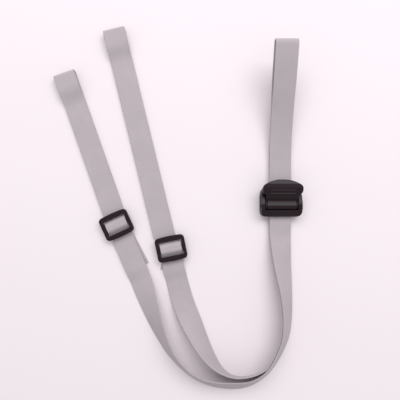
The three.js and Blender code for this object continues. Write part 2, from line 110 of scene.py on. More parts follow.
GROOVE_REACH = 2.0  # past the barrel, into the neck
TOOTH_RADIUS = 0.25
TOOTH_HALF = BARREL_HALF - 2.2
LEVER_TIP = 18.6
FLARE_HALF = 18.1
NECK_HALF = 14.8
FINGER_RIB_RADIUS = 0.4
FINGER_RIB_HALF = 11.0
NOSE_POINTS = 12

# tri-glide sliders
SLIDER_HALF_WIDTH = 13.75
SLIDER_HALF_LENGTH = 11.7
SLIDER_BOTTOM = 3.0
SLIDER_TOP = 6.6
SLIDER_CORNER = 3.4
SLIDER_BOW = 0.5
BOW_SPREAD = 0.72  # share of the half width that a full bow would span
BOW_EXTENT = 0.8  # share of the full bow that is made, and of the full swell
SWELL_EXTENT = 0.85
CURVE_POINTS = 9
OPENING_HALF_WIDTH = 10.9
OPENING_HALF_LENGTH = 7.0
OPENING_CORNER = 0.9
RAIL_SWELL = 0.75
BAR_BOTTOM = 1.6
BAR_TOP = 3.3
BAR_REACH = 12.1

# main loop and doubled stretch
BUCKLE_LIFT = BASE_PLATE + 0.3
LEVEL_BACK = -18.0  # the strap is level up to here, and comes down to the floor over the next length
SINKING_LENGTH = 18.0
STRAP_CUT = -8.0  # where the loop's strap and the limb's strap meet, hidden in the buckle
LOOP_UPPER = [(STRAP_CUT, 4), (20, 4), (40, 4), (60, 7.4), (80, 13.6), (100, 21.4), (118, 28), (134, 32.6)]
LOOP_LOWER = [
    (STRAP_CUT, 2.5), (20, 2.5), (40, 2.5), (60, 5.8), (80, 10.8), (95, 13), (110, 16.8), (124, 21.8),
    (135, 25.7),
]
LOOP_STEP = 2.0
FOLD_STEP = 0.8
FOLD_EASING = 2
FOLD_FROM = 130.0  # from here round the fold every fine step is kept, and before it every other one
FOLD_BULGE = 0.3
FOLD_POINTS = 17

# X, Y of the edge that rests on the floor, and the webbing's roll about that edge in degrees
PAIR_ROUTE = [
    (84.5, STRAP_CUT, 0), (84.4, LEVEL_BACK, 0), (84.5, -30, 6), (84.9, -60, 29), (85.7, -82, 46),
    (85.8, -104, 55), (83.6, -126, 59), (76.2, -144.5, 61), (66.3, -159.8, 62),
]
OUTER_ROUTE = [
    (59.2, -166.6, 59), (50.8, -172.6, 56), (39.5, -176.3, 52), (28.2, -176.9, 51), (14, -175.2, 54),
    (0, -170.4, 59), (-13.2, -162, 63), (-24.8, -150.8, 63), (-32.9, -141, 60), (-38.6, -131.6, 55),
    (-44.8, -121.2, 47), (-49.5, -112.2, 39), (-54.1, -102.6, 29), (-58.3, -93.4, 20), (-62, -84.6, 12),
    (-65.8, -75.2, 5), (-69.9, -65.4, 1),
]
INNER_ROUTE = [
    (55.4, -163.4, 64), (45.1, -166.2, 65), (34.6, -166.2, 68), (26.5, -163.2, 73), (20.6, -157.6, 82),
    (16.4, -150.6, 98), (12, -141, 115), (6.6, -127, 133), (0.1, -109, 155), (-5.8, -94, 172),
    (-12.4, -71, 180),
]
ROUTE_STEP = 2.0
ROUTE_EASING = 3
SAMPLES_PER_SPAN = 60
SEED_SECTIONS = 9  # at the end of the doubled stretch, which the inner strand's own route sets out from
PARTING_LENGTH = 20.0  # over which the upper layer of the doubled stretch comes down to the floor
BEND_Y = -150.0  # the bottom of the bend, where the webbing stands on edge, is below here
STRAND_CUT_X = 46.0  # where each strand is cut in two pieces there

# webbing at a slider, by its distance q along the leg from the centre bar: negative on the run's side
HUMP_HEIGHT = BAR_TOP + 0.2
HUMP_FLAT = 1.8  # the webbing is level over the bar up to here, and down again at the foot
HUMP_FOOT = 8.0
HUMP_STEP = 0.5
STRAIGHT = 18.0  # of the run below a slider
STRAIGHT_STEP = 2.0
SQUARE_LENGTH = 5.0  # the webbing follows the slider up to here, and is on its own line beyond ON_LINE
ON_LINE = 13.0
SLANT_FROM, SLANT_TO = 9.0, 24.0  # over which it turns from square with the slider to square with the leg
CLIMB_FROM, CLIMB_TO = 14.0, 2.0  # how far short of the free tail's end the run climbs, to pass over it
TAIL_BEND = 9.0  # beyond which the free tail goes its own way
TAIL_STEP = 2.5
END_LOOP_STEP = 3.0
END_LOOP_RADIUS = 2.85
END_LOOP_OPEN = 15.0  # the layers are parted over this length at the fold, and part over the taper before it
END_LOOP_TAPER = 16.0

# where each blend from a sliding part to the rest of the webbing would start and end, in Y or in q; no blend
# is made from them
BLEND_HEIGHT = 3.0
LIMB_BLEND = (-17, -104)
MAIN_LOOP_BLEND = (19, 128)
RUN_BLEND = (-10, -75)
END_LOOP_BLEND_FROM, END_LOOP_BLEND_SHORT = 9, 4


def unit(v):
    return v / np.linalg.norm(v)


def smooth(x, low, high):
    t = min(max((x - low) / (high - low), 0.0), 1.0)
    return t * t * (3 - 2 * t)


class Leg:
    """One leg: its slider's place and angle, and how its webbing lies beside the slider's own line."""

    def __init__(
        self, side, slider, angle, skew, length, loop_offset, run_offset, tail_length, tail_yaw, turns_over,
    ):
        self.side = side
        self.slider = np.array([slider[0], slider[1], 0.0])
        self.angle = math.radians(angle)
        self.skew = math.radians(skew)
        self.length = length
        self.loop_offset = loop_offset
        self.run_offset = run_offset
        self.tail_length = tail_length
        self.tail_yaw = math.radians(tail_yaw)
        self.turns_over = turns_over  # whether the run has turned over on its way from the bend
        self.along = np.array([-math.sin(self.angle), math.cos(self.angle), 0.0])
        self.right = np.array([math.cos(self.angle), math.sin(self.angle), 0.0])

    def sideways(self, q):
        """How far the webbing's middle lies to the right of the slider's line."""
        square = -math.tan(self.skew) * q
        line, reach = (self.loop_offset, ON_LINE) if q > 0 else (self.run_offset, STRAIGHT)
        return square + (line - square) * smooth(abs(q), SQUARE_LENGTH, reach)

    def point(self, q, sideways=0.0, z=0.0):
        return self.slider + self.along * q + self.right * sideways + UP * z


LEFT = Leg(
    "left", slider=(-77.3, -23.1), angle=19.4, skew=5.3, length=149.8, loop_offset=0.5, run_offset=1.1,
    tail_length=43.0, tail_yaw=8.0, turns_over=False,
)
RIGHT = Leg(
    "right", slider=(-26.8, -44.8), angle=13.7, skew=-2.0, length=211.0, loop_offset=-3.7, run_offset=-2.3,
    tail_length=17.5, tail_yaw=-26.0, turns_over=True,
)

# the place of the buckle's body in the row frame gives the shift from the drafting frame
buckle_low, buckle_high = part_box("buckle_body")
SHIFT = np.array([
    (buckle_low[0] + buckle_high[0]) / 2 / MM - BUCKLE_X,
    buckle_low[1] / MM - BUCKLE_BACK,
    0.0,
])


def metres(point):
    return tuple((np.asarray(point, float) + SHIFT) * MM)


# ------------------------------------------------------------------ camera, floor and light
VIEW_HEIGHT = 340.0
VIEW_SPAN = 376.0  # of floor across the picture
SENSOR = 36.0
NEAREST_SEEN = 0.01  # metres
WINDOW_PLACE = (0.20, 0.95, 1.15)  # metres: past the top of the picture, and facing the strap
WINDOW_SIZE = (2.2, 0.8)
WINDOW_WATTS = 22.0
ROOM_LIGHT = 0.725
FLOOR_HALF = 3.0

camera_data = bpy.data.cameras.new("camera")
camera_data.sensor_width = SENSOR
camera_data.lens = SENSOR * VIEW_HEIGHT / VIEW_SPAN
camera_data.clip_start = NEAREST_SEEN
camera = bpy.data.objects.new("camera", camera_data)
camera.location = metres((0, 0, VIEW_HEIGHT))
bpy.context.scene.collection.objects.link(camera)
bpy.context.scene.camera = camera

window_data = bpy.data.lights.new("window", "AREA")
window_data.shape = "RECTANGLE"
window_data.size, window_data.size_y = WINDOW_SIZE
window_data.energy = WINDOW_WATTS
window = bpy.data.objects.new("window", window_data)
window.location = WINDOW_PLACE
window.rotation_euler = (-Vector(WINDOW_PLACE)).to_track_quat("-Z", "Y").to_euler()
bpy.context.scene.collection.objects.link(window)

world = bpy.data.worlds.new("world")
world.use_nodes = True
world.node_tree.nodes["Background"].inputs["Color"].default_value = (1, 1, 1, 1)
world.node_tree.nodes["Background"].inputs["Strength"].default_value = ROOM_LIGHT
bpy.context.scene.world = world
bpy.context.scene.view_settings.view_transform = "Standard"


# ------------------------------------------------------------------ materials
def set_values(node, **settings):
    """Sets a node's own settings, or else the values of its inputs. In their names _ stands for a space."""
    for key, value in settings.items():
        if hasattr(node, key):
            setattr(node, key, value)
        else:
            node.inputs[key.replace("_", " ")].default_value = value
    return node


def new_material(name, **settings):
    material = bpy.data.materials.new(name)
    material.use_nodes = True
    tree = material.node_tree
    return material, tree, set_values(tree.nodes["Principled BSDF"], **settings)


def add_node(tree, kind, **settings):
    return set_values(tree.nodes.new(kind), **settings)


def link(tree, source, output, target, socket):
    tree.links.new(source.outputs[output], target.inputs[socket])


def add_bump(tree, shader, texture, output, **settings):
    bump = add_node(tree, "ShaderNodeBump", **settings)
    link(tree, texture, output, bump, "Height")
    link(tree, bump, "Normal", shader, "Normal")


def floor_material():
    material, tree, shader = new_material(
        "floor_paper", Base_Color=(0.745, 0.680, 0.717, 1), Roughness=0.9, Specular_IOR_Level=0.1,
    )
    place = add_node(tree, "ShaderNodeTexCoord")
    grain = add_node(tree, "ShaderNodeTexNoise", Scale=900.0, Detail=2.0)
    link(tree, place, "Object", grain, "Vector")
    add_bump(tree, shader, grain, "Fac", Strength=0.04, Distance=0.0005)
    return material


def webbing_material():
    """Flat-woven nylon: yarns run along the strap and pass over and under the weft. The weave attribute holds
    millimetres along, across and through the strap."""
    material, tree, shader = new_material(
        "webbing", Roughness=0.82, Specular_IOR_Level=0.3, Sheen_Weight=0.12, Sheen_Roughness=0.5,
    )
    weave = add_node(tree, "ShaderNodeAttribute", attribute_name="weave")
    # The yarn pattern: bricks of yarn in a random tone, with dark mortar lines between them that are painted
    # shade in the gaps between the yarns. It gives the relief, and it also tints the dye.
    yarns = add_node(
        tree, "ShaderNodeTexBrick", offset=0.5, squash=1.0, Color1=(0.80, 0.80, 0.80, 1), Color2=(1, 1, 1, 1),
        Mortar=(0.12, 0.12, 0.12, 1), Scale=1.0, Mortar_Size=0.10, Mortar_Smooth=1.0, Brick_Width=1.5,
        Row_Height=0.62,
    )
    fuzz = add_node(tree, "ShaderNodeTexNoise", Scale=2.6, Detail=4.0, Roughness=0.6)
    cloud = add_node(tree, "ShaderNodeTexNoise", Scale=0.05, Detail=3.0, Roughness=0.55)
    for texture in (yarns, fuzz, cloud):
        link(tree, weave, "Vector", texture, "Vector")

    relief = add_node(tree, "ShaderNodeMath", operation="MULTIPLY_ADD")
    relief.inputs[1].default_value = 0.35  # how much of the fuzz is added to the yarns
    link(tree, fuzz, "Fac", relief, 0)
    link(tree, yarns, "Color", relief, 2)
    add_bump(tree, shader, relief, "Value", Strength=0.45, Distance=0.00008)

    tone = add_node(tree, "ShaderNodeMapRange", From_Min=0.3, From_Max=0.7)
    link(tree, cloud, "Fac", tone, "Value")
    dye = add_node(
        tree, "ShaderNodeMix", data_type="RGBA", A=(0.392, 0.347, 0.373, 1), B=(0.419, 0.371, 0.399, 1),
    )
    link(tree, tone, "Result", dye, "Factor")
    # darkens the dye by the yarns' random tone and by painted shade along the gaps between the yarns
    yarn_tone_and_gap_shade = add_node(tree, "ShaderNodeMix", data_type="RGBA", blend_type="MULTIPLY", Factor=0.16)
    link(tree, dye, "Result", yarn_tone_and_gap_shade, "A")
    link(tree, yarns, "Color", yarn_tone_and_gap_shade, "B")
    link(tree, yarn_tone_and_gap_shade, "Result", shader, "Base Color")
    return material


def plastic_material():
    """Black moulded acetal with a fine satin grain."""
    material, tree, shader = new_material("moulded_plastic", Roughness=0.35, Specular_IOR_Level=0.24)
    place = add_node(tree, "ShaderNodeTexCoord")
    grain = add_node(tree, "ShaderNodeTexNoise", Scale=2600.0, Detail=2.0, Roughness=0.5)
    link(tree, place, "Object", grain, "Vector")
    add_bump(tree, shader, grain, "Fac", Strength=0.18, Distance=0.00004)
    mould = add_node(tree, "ShaderNodeTexNoise", Scale=60.0, Detail=3.0)
    link(tree, place, "Object", mould, "Vector")
    tone = add_node(
        tree, "ShaderNodeMix", data_type="RGBA", A=(0.0095, 0.0026, 0.0058, 1), B=(0.0122, 0.0038, 0.0076, 1),
    )
    link(tree, mould, "Fac", tone, "Factor")
    link(tree, tone, "Result", shader, "Base Color")
    return material


WEBBING = webbing_material()
PLASTIC = plastic_material()

floor = bpy.data.objects.new("floor", bpy.data.meshes.new("floor"))
floor_bm = bmesh.new()
bmesh.ops.create_grid(floor_bm, x_segments=1, y_segments=1, size=FLOOR_HALF)
floor_bm.to_mesh(floor.data)
floor_bm.free()
floor.data.materials.append(floor_material())
bpy.context.scene.collection.objects.link(floor)


# ------------------------------------------------------------------ meshes
def new_object(name, vertices, faces):
    """A closed mesh with its faces outwards."""
    mesh = bpy.data.meshes.new(name)
    mesh.from_pydata([tuple(v) for v in vertices], [], faces)
    bm = bmesh.new()
    bm.from_mesh(mesh)
    bmesh.ops.recalc_face_normals(bm, faces=bm.faces)
    bm.to_mesh(mesh)
    bm.free()
    obj = bpy.data.objects.new(name, mesh)
    bpy.context.scene.collection.objects.link(obj)
    return obj


# ------------------------------------------------------------------ webbing
# A section is (middle, across, through): the strap's middle, the unit way across its width and the unit way
# through its thickness, all in millimetres in the drafting frame.
def catmull_rom(points):
    """Centripetal Catmull-Rom through the points, sampled closely."""
    p = np.array(points, float)
    p = np.vstack([2 * p[0] - p[1], p, 2 * p[-1] - p[-2]])
    out = []
    for i in range(1, len(p) - 2):
        before, start, end, after = p[i - 1], p[i], p[i + 1], p[i + 2]
        gaps = (start - before, end - start, after - end)
        d0, d1, d2 = (math.sqrt(np.linalg.norm(gap)) for gap in gaps)
        t1 = ((start - before) / d0 - (end - before) / (d0 + d1) + (end - start) / d1) * d1
        t2 = ((end - start) / d1 - (after - start) / (d1 + d2) + (after - end) / d2) * d1
        cubic = 2 * start - 2 * end + t1 + t2
        square = -3 * start + 3 * end - 2 * t1 - t2
        for t in np.linspace(0, 1, SAMPLES_PER_SPAN, endpoint=False):
            out.append(start + t1 * t + square * t**2 + cubic * t**3)
    out.append(p[-2])
    return np.array(out)


def resample(path, step):
    """The path at an even spacing, measured in its first two columns."""
    gaps = np.linalg.norm(np.diff(path[:, :2], axis=0), axis=1)
    s = np.concatenate([[0], np.cumsum(gaps)])
    count = max(2, int(round(s[-1] / step)) + 1)
    even = np.linspace(0, s[-1], count)
    return np.stack([np.interp(even, s, path[:, c]) for c in range(path.shape[1])], axis=1)


def eased(path, width):
    """Takes small kinks out of an evenly spaced path, leaving its ends where they are."""
    out = path.copy()
    for i in range(1, len(path) - 1):
        reach = min(width, i, len(path) - 1 - i)
        out[i] = path[i - reach:i + reach + 1].mean(axis=0)
    return out


def route_sections(route):
    """Sections along a route on the floor, from (X, Y, roll) of the resting edge."""
    radians = [(x, y, math.radians(roll)) for x, y, roll in route]
    path = eased(resample(catmull_rom(radians), ROUTE_STEP), ROUTE_EASING)
    tangents = np.gradient(path[:, :2], axis=0)
    out = []
    for (x, y, roll), tangent in zip(path, tangents):
        tx, ty = unit(tangent)
        inward = np.array([ty, -tx, 0.0])
        across = inward * math.cos(roll) + UP * math.sin(roll)
        through = UP * math.cos(roll) - inward * math.sin(roll)
        edge = np.array([x, y, HALF_THICKNESS * abs(math.cos(roll))])
        out.append((edge + across * HALF_WIDTH, across, through))
    return out


def resting_edge(section):
    return section[0] - section[1] * HALF_WIDTH


def nearest(sections, point):
    """The number of the section whose resting edge lies nearest to a point."""
    return min(range(len(sections)), key=lambda i: math.dist(resting_edge(sections[i])[:2], point[:2]))


def raised(section, height):
    middle, across, through = section
    return middle + UP * height, across, through


def offset(section, distance):
    middle, across, through = section
    return middle + through * distance, across, through


def leg_section(leg, q, z, sideways=None):
    """A level section of a leg, given as turned over: across to the left, and through downwards."""
    sideways = leg.sideways(q) if sideways is None else sideways
    slant = math.tan(leg.skew) * (1 - smooth(abs(q), SLANT_FROM, SLANT_TO))
    return leg.point(q, sideways, z), -unit(leg.right + leg.along * slant), -UP


def leg_edge(leg, q):
    """The edge that a leg's run has rested on: the right-hand one where it has turned over."""
    side, roll = (1, 180) if leg.turns_over else (-1, 0)
    point = leg.point(q, leg.sideways(q) + side * HALF_WIDTH)
    return point[0], point[1], roll


def hump(q):
    """How far a layer is lifted by the slider's centre bar."""
    return HUMP_HEIGHT * (1 - smooth(abs(q), HUMP_FLAT, HUMP_FOOT))


def distances(end, step):
    """From a slider's bar to `end`, closely spaced over the hump."""
    near = list(np.arange(0, HUMP_FOOT + HUMP_STEP, HUMP_STEP))
    far = list(np.linspace(near[-1], end, max(2, int((end - near[-1]) / step) + 1)))
    return near + far[1:]


def profile():
    """The strap's outline, with a slightly raised rounded selvage: (across, through), anticlockwise."""
    left = [
        (-HALF_WIDTH + a, HALF_THICKNESS * h * SELVAGE_FILL) for a, h in zip(SELVAGE_ACROSS, SELVAGE_HEIGHT)
    ]
    top = left + [(0.0, HALF_THICKNESS * MIDDLE_FILL)] + [(-a, h) for a, h in reversed(left)]
    bottom = [(a, -h) for a, h in reversed(top)][1:-1]
    return top + bottom


PROFILE = profile()


def strap(name, sections, start=0.0, sealed=False):
    """A closed length of webbing through the sections, and its length. `start` is how far along the strap it
    begins, for the weave, and `sealed` says that its last end is melted to a thin bead."""
    count = len(PROFILE)
    last = len(sections) - 1
    vertices, weave = [], []
    s = start
    for i, (middle, across, through) in enumerate(sections):
        if i:
            s += np.linalg.norm(middle - sections[i - 1][0])
        width, depth = SEALED_END if sealed and i == last else (1, 1)
        for a, h in PROFILE:
            vertices.append(metres(middle + across * a * width + through * h * depth))
            weave.append((s, a, h))
    faces = []
    for i in range(last):
        for j in range(count):
            k = (j + 1) % count
            faces.append((i * count + j, i * count + k, (i + 1) * count + k, (i + 1) * count + j))
    faces.append(tuple(reversed(range(count))))
    faces.append(tuple(range(last * count, (last + 1) * count)))
    obj = new_object(name, vertices, faces)
    obj.data.materials.append(WEBBING)
    attribute = obj.data.attributes.new("weave", "FLOAT_VECTOR", "POINT")
    attribute.data.foreach_set("vector", np.array(weave, np.float32).ravel())
    obj.data.shade_smooth()
    obj.data.set_sharp_from_angle(angle=CREASE)
    return obj, s - start


def cloth(obj, length, held, rests_on, *nodes):
    """Hides the CAD nodes that a length of webbing stands for. What the webbing is and what it lies on are
    not used.
    """
    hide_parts(*nodes)
    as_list(rests_on)
    return obj


def blend_from_buckle(piece, near, far):
    start, end = metres((BUCKLE_X, near, BLEND_HEIGHT)), metres((BUCKLE_X, far, BLEND_HEIGHT))
    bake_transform(piece)
    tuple(start)
    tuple(end)


def blend_from_slider(piece, leg, near, far):
    metres(leg.point(near))
    metres(leg.point(far))
    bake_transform(piece)


def strands():
    """Both strands: doubled below the buckle, then each on its own round the bend and up to its slider."""
    outer = route_sections(PAIR_ROUTE + OUTER_ROUTE + [leg_edge(LEFT, -STRAIGHT)])
    end = nearest(outer, PAIR_ROUTE[-1])

    def lift(section):
        rise = BUCKLE_LIFT * (1 - smooth(LEVEL_BACK - resting_edge(section)[1], 0, SINKING_LENGTH))
        return raised(section, rise + PITCH * max(section[2][2], 0))

    doubled = [lift(s) for s in outer[:end + 1]]
    inner_doubled = [offset(s, -PITCH) for s in doubled]
    left = arriving(LEFT, outer[end + 1:], PITCH * outer[end][2][2])
    seed = []
    for section in inner_doubled[-SEED_SECTIONS::2]:
        edge = resting_edge(section)
        seed.append((edge[0], edge[1], math.degrees(math.atan2(section[1][2], section[2][2]))))
    inner = route_sections(seed + INNER_ROUTE + [leg_edge(RIGHT, -STRAIGHT)])
    right = arriving(RIGHT, inner[nearest(inner, seed[-1]) + 1:], 0.0)
    return doubled + left, inner_doubled + right


def arriving(leg, curved, start_lift):
    """Brings a strand down to its slider: off the layer below it, over the free tail, and then up over the
    slider's centre bar."""
    lengths = [np.linalg.norm(b[0] - a[0]) for a, b in zip(curved, curved[1:])]
    out = []
    for i, section in enumerate(curved):
        q = STRAIGHT + sum(lengths[i:])
        clear_of_tail = smooth(q, leg.tail_length + CLIMB_TO, leg.tail_length + CLIMB_FROM)
        settling = start_lift * (1 - smooth(sum(lengths[:i]), 0, PARTING_LENGTH))
        out.append(raised(section, PITCH * (1 - clear_of_tail) + settling))
    level = [q for q in reversed(distances(STRAIGHT, STRAIGHT_STEP)) if q < STRAIGHT]
    flip = 1 if leg.turns_over else -1
    for q in level:
        middle, across, through = leg_section(leg, -q, UPPER + hump(q))
        out.append((middle, across * flip, through * flip))
    return out


def build_strands():
    outer, inner = strands()
    for strand, leg, name, beneath in (
        (outer, LEFT, "outer", "inner_limb_strap"), (inner, RIGHT, "inner", "floor"),
    ):
        cut = next(i for i, ((x, y, _), *_) in enumerate(strand) if y < BEND_Y and x < STRAND_CUT_X)
        limb, limb_length = strap(f"{name}_limb_strap", strand[:cut + 1])
        cloth(limb, limb_length, "laid", beneath, f"{name}_limb")
        blend_from_buckle(limb, *LIMB_BLEND)
        run, run_length = strap(f"{leg.side}_run_strap", strand[cut:], start=limb_length)
        run_rests_on = [f"{leg.side}_tail_strap", "floor"]
        cloth(run, run_length, "laid", run_rests_on, f"{name}_bend", f"{leg.side}_leg_run")
        blend_from_slider(run, leg, *RUN_BLEND)


def arc(cx, cy, radius, start, end, steps=8):
    return [(cx + radius * math.cos(a), cy + radius * math.sin(a)) for a in np.linspace(start, end, steps)]


def loop_path(upper, lower, fold_centre, radius, pitch):
    """Out along the upper layer, round the fold and back along the lower layer, as (distance, height)."""
    turn = arc(*fold_centre, radius, pitch + math.pi / 2, pitch - math.pi / 2, FOLD_POINTS)
    return np.array(list(upper) + turn[1:-1] + list(reversed(lower)))


def path_sections(path, place):
    """Sections along a (distance, height) path; `place` turns a point and its normal into a section."""
    tangents = np.gradient(path, axis=0)
    out = []
    for (q, z), tangent in zip(path, tangents):
        tq, tz = unit(tangent)
        out.append(place(q, z, -tz, tq))
    return out


def build_main_loop():
    upper = resample(catmull_rom(LOOP_UPPER), LOOP_STEP)
    lower = resample(catmull_rom(LOOP_LOWER), LOOP_STEP)
    top, bottom = np.array(LOOP_UPPER[-1], float), np.array(LOOP_LOWER[-1], float)
    depth = top - bottom
    pitch = math.atan2(depth[1], depth[0]) - math.pi / 2
    fold_centre = (top + bottom) / 2 + np.array([FOLD_BULGE, 0])
    path = loop_path(upper, lower, fold_centre, np.linalg.norm(depth) / 2, pitch)
    fine = eased(resample(path, FOLD_STEP), FOLD_EASING)
    last = len(fine) - 1
    fine = fine[[i for i in range(len(fine)) if i % 2 == 0 or fine[i][0] > FOLD_FROM or i == last]]

    def place(q, z, nq, nz):
        return np.array([BUCKLE_X, q, z]), np.array([1.0, 0, 0]), np.array([0, nq, nz])

    nodes = ("main_loop_upper_layer", "main_loop_lower_layer", "main_loop_fold")
    piece = cloth(*strap("main_loop_strap", path_sections(fine, place)), "folded", "buckle_body", *nodes)
    blend_from_buckle(piece, *MAIN_LOOP_BLEND)


def build_leg_loop(leg):
    """The end loop of a leg, from the slider's centre bar out to the fold and back, and the free tail."""
    open_from = leg.length - END_LOOP_OPEN
    taper = open_from - END_LOOP_TAPER
    fold_at = leg.length - END_LOOP_RADIUS - HALF_THICKNESS
    rise = 2 * END_LOOP_RADIUS - PITCH
    qs = distances(fold_at, END_LOOP_STEP)
    upper = [(q, UPPER + rise * smooth(q, taper, open_from) + hump(q)) for q in qs]
    lower = [(q, LOWER + hump(q)) for q in qs]
    path = loop_path(upper, lower, (fold_at, LOWER + END_LOOP_RADIUS), END_LOOP_RADIUS, 0.0)

    def place(q, z, nq, nz):
        middle, across, _ = leg_section(leg, q, z)
        return middle, -across, leg.along * nq + UP * nz

    nodes = [f"{leg.side}_loop_{part}" for part in ("upper_layer", "lower_layer", "fold")]
    loop = cloth(*strap(f"{leg.side}_loop_strap", path_sections(path, place)), "folded", "floor", *nodes)
    blend_from_slider(loop, leg, END_LOOP_BLEND_FROM, leg.length - END_LOOP_BLEND_SHORT)

    sections = []
    for q in distances(leg.tail_length, TAIL_STEP):
        sideways = leg.sideways(-min(q, TAIL_BEND)) + math.tan(leg.tail_yaw) * max(0.0, q - TAIL_BEND)
        sections.append(leg_section(leg, -q, LOWER + hump(q), sideways))
    made = strap(f"{leg.side}_tail_strap", sections, sealed=True)
    tail = cloth(*made, "laid", "floor", f"{leg.side}_leg_tail")
    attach(tail, f"{leg.side}_slider")


build_strands()
build_main_loop()
build_leg_loop(LEFT)
build_leg_loop(RIGHT)

# ------------------------------------------------------------------ moulded plastic
# how far the tools reach that cut right through a moulding
FAR = 40.0
PAST_SIDES = 30.0
BUCKLE_PLAN_HEIGHTS = (-10, 30)
LEVER_PLAN_HEIGHTS = (-5, FAR)
OPENING_HEIGHTS = (0, 20)
OVERSHOOT = 1.0

SOFTEN_FACTOR = 0.5


def prism(outline, low, high, axes="yz"):
    """A closed prism. `outline` lies in the plane named by axes and is drawn out along the third axis."""
    a_axis, b_axis = ("xyz".index(axis) for axis in axes)
    third = 3 - a_axis - b_axis
    vertices = []
    for level in (low, high):
        for a, b in outline:
            point = [0.0, 0.0, 0.0]
            point[a_axis], point[b_axis], point[third] = a, b, level
            vertices.append(point)
    n = len(outline)
    faces = [tuple(range(n)), tuple(range(n, 2 * n))]
    faces += [(i, (i + 1) % n, n + (i + 1) % n, n + i) for i in range(n)]
    return vertices, faces


def block(x0, x1, y0, y1, z0, z1):
    return prism([(y0, z0), (y1, z0), (y1, z1), (y0, z1)], x0, x1)


def rod(y, z, radius, x0, x1, sides=48):
    angles = np.linspace(0, 2 * math.pi, sides, endpoint=False)
    return prism([(y + radius * math.cos(a), z + radius * math.sin(a)) for a in angles], x0, x1)


def pivot_rod(radius, x0, x1):
    return rod(PIVOT_Y, PIVOT_Z, radius, x0, x1)


def on_side(side, span):
    """A span of X on the right-hand side, or its mirror image where side is -1, lower end first."""
    return sorted(side * x for x in span)


def both_halves(right_half):
    """Closes an outline seen from above that was given for its right-hand half."""
    return right_half + [(-x, y) for x, y in reversed(right_half) if x > 0]


def solid_object(solid):
    return new_object("solid", *solid)


def apply_modifiers(obj):
    bpy.context.view_layer.update()
    evaluated = obj.evaluated_get(bpy.context.evaluated_depsgraph_get())
    mesh = bpy.data.meshes.new_from_object(evaluated)
    obj.modifiers.clear()
    old = obj.data
    obj.data = mesh
    bpy.data.meshes.remove(old)


def combine_object(obj, tool, operation):
    """Adds one object to another, or takes it away or what is outside it, and throws the tool away."""
    modifier = obj.modifiers.new("combine", "BOOLEAN")
    modifier.operation = operation
    modifier.solver = "EXACT"
    modifier.object = tool
    apply_modifiers(obj)
    bpy.data.objects.remove(tool)


def combine(obj, solid, operation):
    combine_object(obj, solid_object(solid), operation)


def rounded(obj, name, voxel, passes):
    """Gives a solid the small even radii of a moulding."""
    obj.name = name
    remesh = obj.modifiers.new("skin", "REMESH")
    remesh.mode = "VOXEL"
    remesh.voxel_size = voxel
    soften = obj.modifiers.new("soften", "SMOOTH")
    soften.factor = SOFTEN_FACTOR
    soften.iterations = passes
    apply_modifiers(obj)
    obj.data.shade_smooth()
    obj.data.name = name
    obj.data.materials.clear()
    obj.data.materials.append(PLASTIC)


def place_moulded(obj, origin, turn=0.0):
    """Moves a piece made about the origin, in millimetres, to its place in the row frame, in metres."""
    co = np.empty(len(obj.data.vertices) * 3)
    obj.data.vertices.foreach_get("co", co)
    co = co.reshape(-1, 3)
    cos, sin = math.cos(turn), math.sin(turn)
    x = co[:, 0] * cos - co[:, 1] * sin + origin[0] + SHIFT[0]
    y = co[:, 0] * sin + co[:, 1] * cos + origin[1] + SHIFT[1]
    obj.data.vertices.foreach_set("co", (np.stack([x, y, co[:, 2]], axis=1) * MM).ravel())
    obj.data.update()


def finish_piece(obj, body, node):
    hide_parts(node)
    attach(obj, body)


# ------------------------------------------------------------------ cam buckle
# outlines seen from the side, as (Y, Z)
CHEEK_OUTLINE = [
    (BUCKLE_BACK, 0), (BUCKLE_FRONT, 0), (BUCKLE_FRONT, BASE_PLATE), (9, 7.6), (4, 10.2),
    (PIVOT_Y + 4, CHEEK_TOP - 0.6), (PIVOT_Y + 2, CHEEK_TOP), (PIVOT_Y - 2, CHEEK_TOP),
    (BUCKLE_BACK + 3.6, 10.4), (BUCKLE_BACK + 1, 8.8), (BUCKLE_BACK, 7.4),
]
DISH_OUTLINE = [
    (BUCKLE_BACK + 5.4, 2.6), (3.4, 2.6), (6.2, 5.2), (1.6, 8.6), (PIVOT_Y + 4.4, 9.4),
    (BUCKLE_BACK + 5.4, 8.0),
]
LEVER_OUTLINE = [
    (PIVOT_Y, PIVOT_Z + BARREL_RADIUS), (PIVOT_Y - 1, PIVOT_Z), (PIVOT_Y + 1.5, PIVOT_Z - 2.2), (-0.5, 7.4),
    (3, 9), (6, 12), (9.5, 14.4), (13.5, 15), (LEVER_TIP - 0.9, 13.6), (LEVER_TIP, 14.2),
    (LEVER_TIP - 0.6, 16), (14.6, 17.2), (11, 17.3), (7.5, 16.2), (4, 14.4), (1.4, 12.9), (0.2, 11.6),
    (-1.2, 11.2),
]
FINGER_RIBS = [(8.6, 16.85), (5.6, 15.4)]
TOOTH_ANGLES = range(-150, -59, 18)  # in degrees round the barrel's underside


def buckle_plan():
    """Seen from above: round back corners, and sides that close in towards the front."""
    half, front = BUCKLE_HALF, BUCKLE_FRONT_HALF
    side = [
        (front - 1.6, BUCKLE_FRONT), (front - 0.4, BUCKLE_FRONT - 0.5), (front + 0.2, BUCKLE_FRONT - 1.6),
        (half - 0.6, 8.0), (half - 0.1, 4.5), (half, 2.0),
    ]
    side += arc(half - BUCKLE_CORNER, BUCKLE_BACK + BUCKLE_CORNER, BUCKLE_CORNER, 0, -math.pi / 2, steps=10)
    return both_halves(side)


